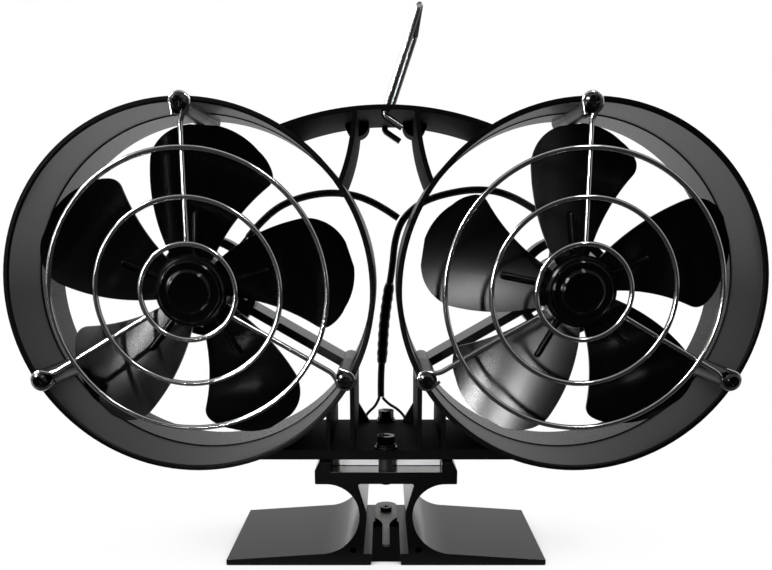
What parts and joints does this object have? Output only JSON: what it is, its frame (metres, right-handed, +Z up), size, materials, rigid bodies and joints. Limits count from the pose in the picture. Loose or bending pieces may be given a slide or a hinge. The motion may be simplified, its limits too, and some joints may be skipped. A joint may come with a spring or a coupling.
{
  "type": "stove fan",
  "caption": "Heat-powered stove fan: flared extruded base, thermoelectric module, cast twin-ring frame with caged fans and a wire carrying bail.",
  "frame": {"origin": "on the surface that the base stands on, under the middle of the fan's bounding box", "axes": "+X to the right as seen from the front, +Y from front to back, +Z up; the guards face -Y"},
  "size_m": [0.2882, 0.0622, 0.211],
  "materials": {
    "anodised_base": "black anodised, satin",
    "cast_frame": "black coated casting, satin",
    "blade_metal": "black anodised, satin",
    "hub_plastic": "glossy black",
    "chrome_wire": "polished",
    "black_screw": "blackened steel",
    "bright_steel": "ground",
    "bimetal": "rolled strip, satin",
    "graphite": "matt",
    "white_ceramic": "matt",
    "module_core": "matt",
    "white_seal": "matt silicone",
    "black_insulator": "matt",
    "motor_steel": "plated, satin",
    "motor_plastic": "matt",
    "magnet": "ferrite, matt",
    "armature": "laminated steel with copper windings",
    "brass_fitting": "turned",
    "cable_sleeve": "woven sleeve, matt",
    "shrink_tube": "shrunk tube, satin",
    "wire_cover": "silicone insulation"
  },
  "bodies": {
    "body": {"base_extrusion": "anodised_base", "bimetal_spacer": "bright_steel", "bimetal_root": "bimetal", "bimetal_screw": "black_screw", "hot_side_pad": "graphite", "cold_side_pad": "graphite", "teg_hot_plate": "white_ceramic", "teg_cold_plate": "white_ceramic", "teg_core": "module_core", "teg_seal": "white_seal", "foot_bracket": "cast_frame", "top_arch": "cast_frame", "clamp_screws": "black_screw", "clamp_spring_washers": "black_screw", "clamp_flat_washers": "black_screw", "clamp_sleeves": "black_insulator", "lead_left": "cable_sleeve", "lead_right": "cable_sleeve", "lead_sleeve": "shrink_tube", "lead_tail_left": "wire_cover", "lead_tail_right": "wire_cover", "guard_left": "chrome_wire", "guard_screws_left": "black_screw", "ring_left": "cast_frame", "motor_spider_left": "cast_frame", "motor_can_left": "motor_steel", "motor_bush_left": "brass_fitting", "motor_magnets_left": "magnet", "motor_end_cap_left": "motor_plastic", "motor_terminals_left": "brass_fitting", "motor_wires_left": "wire_cover", "guard_right": "chrome_wire", "guard_screws_right": "black_screw", "ring_right": "cast_frame", "motor_spider_right": "cast_frame", "motor_can_right": "motor_steel", "motor_bush_right": "brass_fitting", "motor_magnets_right": "magnet", "motor_end_cap_right": "motor_plastic", "motor_terminals_right": "brass_fitting", "motor_wires_right": "wire_cover"},
    "rotor_left": {"impeller_left": "blade_metal", "hub_insert_left": "brass_fitting", "hub_cap_left": "hub_plastic", "motor_shaft_left": "bright_steel", "motor_armature_left": "armature"},
    "rotor_right": {"impeller_right": "blade_metal", "hub_insert_right": "brass_fitting", "hub_cap_right": "hub_plastic", "motor_shaft_right": "bright_steel", "motor_armature_right": "armature"},
    "handle": {"carry_handle": "chrome_wire"},
    "tongue": {"bimetal_tongue": "bimetal"}
  },
  "joints": [
    {"name": "fan_spin_left", "type": "hinge", "parent": "body", "child": "rotor_left", "pos_m": [-0.0741, 0, 0.1088], "axis": [0, 1, 0], "continuous": true},
    {"name": "fan_spin_right", "type": "hinge", "parent": "body", "child": "rotor_right", "pos_m": [0.0741, 0, 0.1088], "axis": [0, 1, 0], "continuous": true},
    {"name": "handle_swing", "type": "hinge", "parent": "body", "child": "handle", "pos_m": [0, 0, 0.17495], "axis": [0, 1, 0], "range_deg": [-30, 0]},
    {"name": "tongue_bend", "type": "hinge", "parent": "body", "child": "tongue", "pos_m": [0, 0.008, 0.0056], "axis": [1, 0, 0], "range_deg": [0, 9], "stiffness_Nm_per_rad": 1.2}
  ]
}
